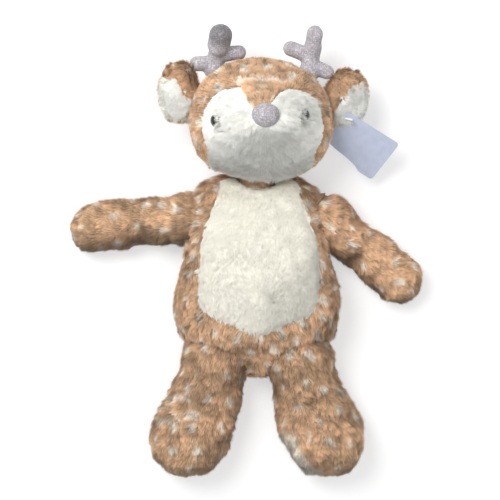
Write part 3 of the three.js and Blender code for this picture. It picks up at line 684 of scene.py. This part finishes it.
def open_skin(q):
    """Leaves out the hollows that the neck and the limbs turn in."""
    clear = np.ones(len(q))
    for place, diameter in SOCKETS:
        clear *= np.linalg.norm(q - place, axis=1) > diameter / 2 + HOLLOW_RIM
    return clear


def seat_down(q, n):
    """Down the body, and over the edge of each hollow that is near."""
    flow = np.stack([0.004 * q[:, 0], np.full(len(q), -1.0), np.full(len(q), -0.1)], -1)
    for place, diameter in SOCKETS[1:]:
        off = place - q
        away = np.linalg.norm(off, axis=1)
        flow += 2.2 * bell(away - diameter / 2 - 3, 6)[:, None] * unit(off)
    return along_surface(flow, n)


def belly_shade(q, n):
    """Painted shade low on the left and in the dents, and painted light at the top."""
    low_left = smoothstep(-22, 34, q[:, 0] - 0.7 * q[:, 1] - 20)
    return 0.99 - 0.18 * low_left - 0.1 * dents(q) + 0.06 * smoothstep(30, 60, q[:, 1])


# Painted shade: the sides of the body darker down toward the floor.
def side_shade(q, n):
    return 0.9 + 0.1 * smoothstep(4, 40, q[:, 2])


def furred_back(q):
    return off_belly(q) * open_skin(q)


def furred_belly(q):
    return on_belly(q) * open_skin(q)


spots = Spots(torso, furred_back, seat_down, gap=13.5, seed=41)
cloth("body_plush", torso, "torso", BROWN, ("body_cover", "body_stuffing"), off_belly, spots)
cloth("belly_plush", torso, "torso", BELLY, ("belly_panel",), on_belly)
fur("body_pile", torso, "torso", BROWN, count=80000, lie=seat_down, weight=furred_back, seed=51,
    spots=spots, shade=side_shade)
fur("belly_pile", torso, "torso", BELLY, count=72000, lie=seat_down, weight=furred_belly, seed=52,
    length=5.6, width=0.6, lean=71, clump=3, grip=0.3, swirl=0.6, tone=0.04, shade=belly_shade)

# Arms and legs: where each is creased and how deep, and a bar that fills out its upper part
CREASES = {"leg_right": ((38, 0.9), (46, 1.1), (54, 0.9), (62, 0.6)), "leg_left": ((36, 0.9),)}
FULLER = {"arm": 39, "leg": 50}
FULLER_REACH = 26
PILE_COUNT = {"arm": 45000, "leg": 68000}
# Painted light and shade: each arm's pile made lighter or darker as light falls on it, and the feet lighter
# than the upper legs.
ARM_LIGHT = {"right": 0.93, "left": 1.4}
FOOT_LIGHT = {"right": 0.06, "left": 0.14}


def limb_skin(kind, place, rotation, sign, creases):
    solid = form(LIMB_ROWS[kind], *LIMB_SIZE[kind], floor=-place[2] - FLOOR_FLAT, mirror=-sign)
    fuller = bar((0, 0, 0), (0, FULLER_REACH, 0), FULLER[kind])
    skin = Skin([placed(s, rotation, place) for s in (solid, ball(LIMB_BALL[kind]), fuller)], rounds=12)
    local = (skin.points - place) @ rotation
    folds = 1.0 * soft_noise(skin.points, 40, 60 + sign) + 0.4 * soft_noise(skin.points, 16, 61)
    for at, deep in creases:
        off = local[:, 1] - at - 0.12 * sign * local[:, 0] - 1.2 * soft_noise(local, 30, 9)
        folds -= deep * bell(off, 2.4)
    skin.push(folds)
    return skin


def limb(kind, side, sign):
    """An arm or a leg: its cloth and its pile."""
    name, place = f"{kind}_{side}", ROOT[kind][side]
    leg = kind == "leg"
    rotation = turn("Z", LIMB_ANGLE[name])
    creases = CREASES.get(name, ())
    skin = limb_skin(kind, place, rotation, sign, creases)
    reach = rotation @ np.array([0, 1.0, 0])

    def lie(q, n):
        return along_surface(np.broadcast_to(reach, q.shape) + [0, 0, -0.12], n)

    def beyond_root(q):
        return ((q - place) @ reach > -12).astype(float)

    def pale(q, n):
        """Paler pile in the folds of the right leg, or along the inner edge of the left sole."""
        at = (q - place) @ rotation
        wave = 2.5 * soft_noise(q, 22, 8) - 0.12 * sign * at[:, 0]
        lines = sum(bell(at[:, 1] - a - 3 + wave, 1.4) for a, _ in creases)
        lines *= smoothstep(-8, 6, at[:, 0]) * smoothstep(-0.6, 0.5, soft_noise(q, 12, 7))
        if side == "left":
            edge = smoothstep(19, 25, at[:, 0] + 0.22 * (at[:, 1] - 60))
            lines = edge * smoothstep(48, 62, at[:, 1])
        return lines.clip(0, 1) * (n[:, 2] > 0.05)

    def low(q, n):
        """Painted shade along the lower side, where the light does not fall, and a little over the upper
        leg; each arm painted lighter or darker, and the feet painted lighter.
        """
        lit = smoothstep(-0.95, 0.35, n[:, 1] + 0.3 * n[:, 2])
        if not leg:
            return (0.26 + 0.74 * lit) * ARM_LIGHT[side]
        foot = smoothstep(30, 70, (q - place) @ reach)
        return (0.42 + 0.58 * lit) * (0.92 + FOOT_LIGHT[side] * foot)

    spots = Spots(skin, beyond_root, lie, gap=17, seed=70 + 2 * sign + leg)
    cloth(f"{name}_plush", skin, name, BROWN, (f"{name}_cover", f"{name}_stuffing"),
          spots=spots)
    fur(f"{name}_pile", skin, name, BROWN, count=PILE_COUNT[kind], lie=lie, weight=beyond_root,
        seed=80 + 2 * sign + leg, spots=spots, pale=pale if leg else None, shade=low)


for side, sign in SIDES.items():
    limb("arm", side, sign)
    limb("leg", side, sign)

# Head
HEAD_TURN = turn("X", -HEAD_TILT) @ turn("Y", HEAD_SIDE_TURN)
# The face and the blaze lie in front of FACE_LEVEL, measured from the neck. Round each eye the pile
# starts at EYE_ROOM, is shorter by EYE_TRIM and stands up by EYE_STAND, in radians.
FACE_LEVEL = 26.75
NOSE_ROOM = 9
EYE_ROOM = {"right": 5.2, "left": 4.2}
EYE_TRIM = {"right": 0.75, "left": 0.25}
EYE_STAND = 0.7


def to_head(q):
    return (np.asarray(q) - NECK) @ HEAD_TURN


upright = turn("X", 90)
points, faces = form(HEAD, *HEAD_SIZE, taper=0.1, crown=0.84)
head_form = (points @ upright.T + [0, HEAD_RISE, -HEAD_BEHIND_NECK], faces)
stub = bar((0, 0, 0), (0, 21, 17.8), 28)
skull = Skin([placed(s, HEAD_TURN, NECK) for s in (head_form, ball(NECK_BALL), stub)])
nose_at = NECK + HEAD_TURN @ np.array([0, NOSE_RISE, HEAD_SIZE[0] - HEAD_BEHIND_NECK - NOSE_DEPTH / 6])


def eye_frame(node):
    """The middle of an eye's rim and the way it faces, from the solid."""
    q = np.array([v.co for v in frame["nodes"][node].data.vertices]) / MM
    middle = NECK + HEAD_TURN @ np.array([0, HEAD_RISE, HEAD_SIZE[0] / 3])
    top = np.linalg.norm(q - middle, axis=1).argmax()
    gaps = np.linalg.norm(q - q[top], axis=1)
    axis = unit(q[top] - q[gaps > gaps.max() - 0.05].mean(0))
    return q[top] - EYE_HEIGHT * axis, axis


eyes = {side: eye_frame(f"eye_{side}") for side in SIDES}
# The blaze is 3 mm narrower than its solid
face = Panel(FACE_OUTLINE, width=99, height=53, top=41)
blaze = Panel(BLAZE_OUTLINE, width=37, height=32, top=45, skew=-0.14)
q = to_head(skull.points)
front = (q[:, 2] > FACE_LEVEL).astype(float)
skull.push(0.9 * soft_noise(skull.points, 48, 33) + 0.3 * soft_noise(skull.points, 18, 34)
           - 1.4 * front * bell(face.away(q), 2.6) - 0.7 * front * bell(blaze.away(q), 2))

# The skin is drawn in round each eye, so that the eye's rim stands just clear of it
for centre, axis in eyes.values():
    off = skull.points - centre
    up = off @ axis
    beside = np.linalg.norm(off - up[:, None] * axis, axis=1)
    skull.points -= (np.maximum(up + 0.8, 0) * (1 - smoothstep(6.5, 11, beside)))[:, None] * axis
skull.store()


def on_blaze(w):
    q = to_head(w)
    return (blaze.inside(q) & (q[:, 2] > FACE_LEVEL)).astype(float)


def on_face(w):
    q = to_head(w)
    return (face.inside(q) & (q[:, 2] > FACE_LEVEL)).astype(float) * (1 - on_blaze(w))


def on_hood(w):
    return (1 - on_face(w)) * (1 - on_blaze(w))


def furred_hood(w):
    return on_hood(w) * (np.linalg.norm(w - NECK, axis=1) > 18).astype(float)


back = HEAD_TURN @ np.array([0, 0.25, -1.0])


def swept_back(w, n):
    return along_surface(np.broadcast_to(back, w.shape), n)


EAR_AT = {s: JOINTS[f"ear_{s}_fold"] for s in SIDES}


def hood_lie(w, n):
    """Back from the face, and out on to the ears beside their roots."""
    flow = np.broadcast_to(back, w.shape).copy()
    for side, sign in SIDES.items():
        out = HEAD_TURN @ unit(np.array([sign, -0.1, 0.55]))
        flow += 2.4 * bell(np.linalg.norm(w - EAR_AT[side], axis=1), 15)[:, None] * out
    return along_surface(flow, n)


def hood_length(w):
    """Longer pile round the roots of the ears."""
    return 1 + 0.6 * sum(bell(np.linalg.norm(w - at, axis=1), 15) for at in EAR_AT.values())


def blaze_seam(w, n):
    """A line of pale pile along the top of the blaze."""
    q = to_head(w)
    line = bell(q[:, 1] - 45.5 - 0.05 * q[:, 0], 2.2)
    return 0.8 * line * smoothstep(25, 19, np.abs(q[:, 0])) * (q[:, 2] > 26)


def from_nose(w, n):
    """Out from the nose, and away from the blaze beside it."""
    q = to_head(w) - [0, 12, 0]
    aside = np.sign(q[:, 0]) * bell(q[:, 0] / 26, 1) * smoothstep(-6, 8, q[:, 1])
    out = np.column_stack([q[:, 0] / 30 + aside, q[:, 1] / 34 - 0.35, np.full(len(q), -0.35)])
    return along_surface(out @ HEAD_TURN.T, n)


def face_trim(w):
    """Short pile round the eyes and the nose, and along the blaze."""
    q = to_head(w)
    keep = 0.35 + 0.65 * smoothstep(8, 20, np.linalg.norm(w - nose_at, axis=1))
    keep *= 0.5 + 0.5 * smoothstep(0, 7, blaze.away(q))
    keep *= 1 - 0.6 * smoothstep(-6, 2, q[:, 1]) * (1 - smoothstep(0, 9, face.away(q)))
    for side, (centre, _) in eyes.items():
        off = (w - centre) @ HEAD_TURN * [-SIDES[side], 1, 1]
        beside = smoothstep(-1, 4, off[:, 0])
        close = 1 - smoothstep(5, 14, np.linalg.norm(off, axis=1))
        keep *= 1 - close * EYE_TRIM[side] * (1 - beside)
    return keep


def by_eyes(w):
    """How far the pile stands up by the eyes: on the nose side of the right one, and all round the left."""
    total = np.zeros(len(w))
    for side, (centre, _) in eyes.items():
        off = (w - centre) @ HEAD_TURN * [-SIDES[side], 1, 1]
        close = 1 - smoothstep(6, 13, np.linalg.norm(off, axis=1))
        total += close * {"right": EYE_STAND * smoothstep(-2, 2, off[:, 0]), "left": EYE_STAND}[side]
    return total


def face_room(w):
    """Where the face has pile: outside the nose and the eyes."""
    room = np.linalg.norm(w - nose_at, axis=1) > NOSE_ROOM
    for side, (centre, _) in eyes.items():
        room &= np.linalg.norm(w - centre, axis=1) > EYE_ROOM[side]
    return room.astype(float)


def chin_shade(w, n):
    """Painted shade under the chin, and painted light on the left cheek."""
    q = to_head(w)
    chin = bell((q[:, 1] + 10) / 11, 1) * (n[:, 1] < 0.3)
    return 1.1 - 0.38 * chin + 0.05 * smoothstep(5, 35, q[:, 0])


def blaze_light(w, n):
    """Pale pile along the top of the blaze, and in a few streaks."""
    return np.maximum(blaze_seam(w, n), 0.5 * smoothstep(0.35, 1.1, soft_noise(w, 9, 77)))


def furred_face(w):
    return on_face(w) * face_room(w)


def furred_blaze(w):
    return on_blaze(w) * face_room(w)


def even_shade(share):
    """The same shade all over."""
    return lambda w, n: np.full(len(w), share)


def blaze_trim(w):
    return 0.4 + 0.6 * smoothstep(8, 18, np.linalg.norm(w - nose_at, axis=1))


spots = Spots(skull, on_hood, swept_back, gap=19, seed=42, size=(5.6, 4.0))
cloth("head_plush", skull, "head", BROWN, ("head_cover", "head_stuffing"), on_hood, spots)
cloth("face_plush", skull, "head", CREAM, ("face_panel",), on_face)
cloth("blaze_plush", skull, "head", BROWN, ("forehead_blaze",), on_blaze)
fur("head_pile", skull, "head", BROWN, count=80000, lie=hood_lie, weight=furred_hood, seed=53, length=5.6,
    lean=71, spots=spots, pale=blaze_seam, trim=hood_length, shade=even_shade(1.1))
fur("face_pile", skull, "head", CREAM, count=76000, lie=from_nose, weight=furred_face, seed=54, length=8.5,
    width=0.66, lean=66, trim=face_trim, shade=chin_shade, tone=0.1, clump=4.6, grip=0.5, stand=by_eyes)
fur("blaze_pile", skull, "head", BROWN, count=11000, lie=swept_back, weight=furred_blaze, seed=55,
    length=5.5, pale=blaze_light, shade=even_shade(1.24), trim=blaze_trim)

# Nose
nose_form = placed(ball(1, stretch=NOSE_SIZE), HEAD_TURN, nose_at)
nose = Skin([nose_form], voxel=0.8, rounds=3, flat=False)
cloth("nose_knit", nose, "head", LILAC, ("nose_cover", "nose_stuffing"),
      tone=lambda w: 0.88 + 0.03 * soft_noise(w, 9, 6))


# Eyes
def turned(profile, centre, axis, n=40):
    """A solid of revolution round axis, from (radius, height) pairs that start and end on it."""
    x = unit(np.cross(axis, [0.2, 1, 0.1]))
    y = np.cross(axis, x)
    points = [centre + h * axis + rad * (math.cos(t) * x + math.sin(t) * y)
              for rad, h in profile[1:-1] for t in np.arange(n) * 2 * np.pi / n]
    points += [centre + profile[0][1] * axis, centre + profile[-1][1] * axis]
    rows = len(profile) - 2
    faces = [(r * n + i, r * n + (i + 1) % n, (r + 1) * n + (i + 1) % n, (r + 1) * n + i)
             for r in range(rows - 1) for i in range(n)]
    faces += [(rows * n, (i + 1) % n, i) for i in range(n)]
    faces += [(rows * n + 1, (rows - 1) * n + i, (rows - 1) * n + (i + 1) % n) for i in range(n)]
    return np.array(points), faces


def eye(side, centre, axis, steps=14):
    """A glossy dome on its shank."""
    dome = [(EYE_RADIUS * math.cos(a), EYE_HEIGHT * math.sin(a)) for a in np.linspace(0, np.pi / 2, steps)]
    shank = [(0, -SHANK_LENGTH), (SHANK_RADIUS, -SHANK_LENGTH), (SHANK_RADIUS, 0)]
    solid = turned(shank + dome[:-1] + [(0, EYE_HEIGHT)], centre, axis)
    obj = mesh_object(f"eye_gloss_{side}", [solid])
    obj.data.polygons.foreach_set("use_smooth", np.ones(len(solid[1]), bool))
    obj.data.materials.append(GLOSS)
    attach(obj, "head")
    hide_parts(f"eye_{side}")


for side, (centre, axis) in eyes.items():
    eye(side, centre, axis)


# Antlers
ANTLER_PITCH = {"right": 47, "left": 27}
ANTLER_SPREAD = {"right": -8, "left": -6}
# Painted shade: how much darker each antler's crown is made.
CROWN_SHADE_SHARE = {"right": 0.55, "left": 0.03}


def antler(side, sign):
    """A knitted antler with three tines: the bent beam, one tine inward and one outward."""
    rotation = HEAD_TURN @ turn("X", ANTLER_PITCH[side]) @ turn("Z", ANTLER_SPREAD[side])
    place = JOINTS[f"antler_{side}_bend"]
    at = lambda x, y, z=0: (x * sign, y, z)
    middle = (0.0, (BEAM_BEND + BEAM_HEIGHT) / 2, BEAM_FORWARD / 2)
    solids = [ball(ANTLER_ROOT),
              bar(at(0, 0), at(0, BEAM_BEND), BEAM_DIAMETER),
              bar(at(0, BEAM_BEND), middle, BEAM_DIAMETER),
              bar(middle, at(0, BEAM_HEIGHT, BEAM_FORWARD), CROWN_DIAMETER[side]),
              bar(at(0, BEAM_BEND), at(-18.5, 18), TINE_DIAMETER),
              bar(at(0, 5), at(15.5, 2), TINE_DIAMETER)]
    skin = Skin([placed(s, rotation, place) for s in solids], voxel=1.1, rounds=5, flat=False)
    skin.push(0.4 + 0.3 * soft_noise(skin.points, 14, 35 + sign))

    def crown_shade(w):
        """Painted shade: darker toward the crown, as it bends away from the light."""
        up = ((w - place) @ rotation)[:, 1]
        return 1 - CROWN_SHADE_SHARE[side] * smoothstep(18, 32, up) + 0.03 * soft_noise(w, 12, 4)

    cloth(f"antler_{side}_knit", skin, f"antler_{side}", LILAC,
          (f"antler_{side}_cover", f"antler_{side}_stuffing"), tone=crown_shade)


for side, sign in SIDES.items():
    antler(side, sign)


# Ears
EAR_SPREAD = {"right": 67, "left": -72}
EAR_FOLD = {"right": 24, "left": 4}
# Painted light and shade: each ear's pile lighter or darker by how its tilt meets the light.
EAR_LIGHT = {"right": 1.04, "left": 0.9}


def ear(side, sign):
    """An ear: its back, its lining, and brown pile that rolls over the upper edge."""
    rotation = (HEAD_TURN @ turn("X", EAR_LEAN) @ turn("Z", EAR_SPREAD[side]) @ turn("X", EAR_FOLD[side]))
    place = EAR_AT[side]
    leaf_form = form(EAR, *EAR_SIZE, mirror=-sign)
    leaf = Skin([placed(leaf_form, rotation, place)], voxel=1.2, rounds=4, flat=False)
    length, width, depth = EAR_SIZE
    points, faces = form(EAR, length - LINING_START - LINING_INSET, width - 2 * LINING_INSET, LINING_DEPTH,
                         start=LINING_START, mirror=-sign)
    lining_form = placed((points + [0, 0, depth / 3], faces), rotation, place)
    lining = Skin([lining_form], voxel=1.2, rounds=4, flat=False)
    reach, front = rotation @ np.array([0, 1.0, 0]), rotation @ np.array([0, 0, 1.0])
    low = rotation @ np.array([float(sign), 0, 0])
    low = low if low[1] < 0 else -low
    heart = place + rotation @ np.array([-sign * 8.0, 16.0, 3.0])

    def lie(w, n):
        return along_surface(unit(w - heart) + 0.35 * reach, n)

    def rolled(w, n):
        """Outward, but the brown pile of the upper edge falls over the front."""
        fall = smoothstep(-9.5, -15, (w - place) @ low) * (n @ front > -0.4)
        return along_surface(lie(w, n) + 2.2 * fall[:, None] * low, n)

    def bare(w):
        return ((w - place) @ reach > 0).astype(float)

    def below_band(w):
        """How far a point is below the brown band of the upper edge."""
        off = w - place
        return off @ low + 10.5 - 9 * (1 - smoothstep(4, 24, off @ reach)) + 1.2 * soft_noise(w, 8, 12)

    def pale(w, n):
        """The front is cream, as the lining is, but for its upper edge."""
        return smoothstep(-0.5, -0.1, n @ front) * smoothstep(-1, 4, below_band(w))

    def fronted(w):
        return ((w - place) @ front > 1.5).astype(float)

    def upper(w):
        return fronted(w) * (below_band(w) < 0)

    def lower(w):
        return fronted(w) * (below_band(w) >= 0)

    bright = even_shade(EAR_LIGHT[side])
    name = f"ear_{side}"
    cloth(f"{name}_plush", leaf, name, BROWN, (f"{name}_back",))
    cloth(f"{name}_inner", lining, name, CREAM, (f"{name}_lining",))
    spots = Spots(leaf, bare, lie, gap=12, seed=43 + sign, size=(3.2, 2.2))
    fur(f"{name}_pile", leaf, name, BROWN, count=20000, lie=rolled, weight=bare, seed=56 + sign, length=6,
        width=0.58, pale=pale, shade=bright, spots=spots)
    fur(f"{name}_inner_pile", lining, name, CREAM, count=13000, lie=lie, weight=lower, seed=58 + sign,
        length=6.5, width=0.62, shade=bright, lean=62, swirl=0.7, clump=3.6, grip=0.5, tone=0.08)
    fur(f"{name}_upper_pile", lining, name, BROWN, count=4000, lie=rolled, weight=upper, seed=68 + sign,
        length=6, width=0.6, shade=bright)


for side, sign in SIDES.items():
    ear(side, sign)

# Floor, lights and camera
bpy.ops.mesh.primitive_plane_add(size=6, location=(0, 0, 0))
floor = bpy.context.object
floor.name = "floor"
FLOOR, nodes, links, shader = material("floor", 0.9, Base_Color=(0.9, 0.9, 0.9, 1))
shader.inputs["Specular IOR Level"].default_value = 0.1
seen = nodes.new("ShaderNodeBsdfDiffuse")
seen.inputs["Color"].default_value = (0.55, 0.55, 0.55, 1)
glow = nodes.new("ShaderNodeEmission")
glow.inputs["Strength"].default_value = 0.5
both = nodes.new("ShaderNodeAddShader")
links.new(seen.outputs[0], both.inputs[0])
links.new(glow.outputs[0], both.inputs[1])


def by_ray(nodes, links, plain, shown, end):
    """Camera and glossy rays meet shown, and all other light meets plain."""
    rays = nodes.new("ShaderNodeLightPath")
    either = nodes.new("ShaderNodeMath")
    either.operation = "MAXIMUM"
    links.new(rays.outputs["Is Camera Ray"], either.inputs[0])
    links.new(rays.outputs["Is Glossy Ray"], either.inputs[1])
    pick = nodes.new("ShaderNodeMixShader")
    links.new(either.outputs[0], pick.inputs[0])
    links.new(plain.outputs[0], pick.inputs[1])
    links.new(shown.outputs[0], pick.inputs[2])
    links.new(pick.outputs[0], nodes[end].inputs["Surface"])


by_ray(nodes, links, shader, both, "Material Output")
floor.data.materials.append(FLOOR)
floor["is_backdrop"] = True

world = bpy.data.worlds.new("studio")
bpy.context.scene.world = world
world.use_nodes = True
nodes, links = world.node_tree.nodes, world.node_tree.links
ambient = nodes["Background"]
ambient.inputs["Color"].default_value = (1, 1, 1, 1)
ambient.inputs["Strength"].default_value = 0.5
white = nodes.new("ShaderNodeBackground")
by_ray(nodes, links, ambient, white, "World Output")


def lamp(name, place, target, size, power):
    light = bpy.data.lights.new(name, "AREA")
    light.shape, light.size, light.energy = "DISK", size, power
    obj = bpy.data.objects.new(name, light)
    bpy.context.scene.collection.objects.link(obj)
    z = unit(np.array(place, float) - np.array(target, float))
    x = unit(np.cross([0, 1, 0.3], z))
    turned_and_placed = np.column_stack([x, np.cross(z, x), z, place])
    obj.matrix_world = Matrix(np.vstack([turned_and_placed, [0, 0, 0, 1]]).tolist())


# Lamps and camera, in metres and watts
AIM = (0, 0, 0.03)
lamp("key", place=(-0.5, 0.5, 1.15), target=AIM, size=0.7, power=12.6)
lamp("fill", place=(0.3, -0.4, 1.3), target=AIM, size=0.9, power=3)

# The camera sees VIEW_WIDTH metres at VIEW_DISTANCE below it
SENSOR_WIDTH = 36
VIEW_DISTANCE = 1.2
VIEW_WIDTH = 0.4375
CAMERA_PLACE = (-0.0061, 0.0306, 1.235)
camera = bpy.data.cameras.new("camera")
camera.sensor_width = SENSOR_WIDTH
camera.lens = SENSOR_WIDTH * VIEW_DISTANCE / VIEW_WIDTH
camera.clip_start, camera.clip_end = 0.05, 20
view = bpy.data.objects.new("camera", camera)
view.location = CAMERA_PLACE
bpy.context.scene.collection.objects.link(view)
bpy.context.scene.camera = view
bpy.context.scene.view_settings.view_transform = "Standard"

plain = lambda box: [[float(v) for v in corner] for corner in box]
{"cad": plain(cad_box), "visual": plain(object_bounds())}
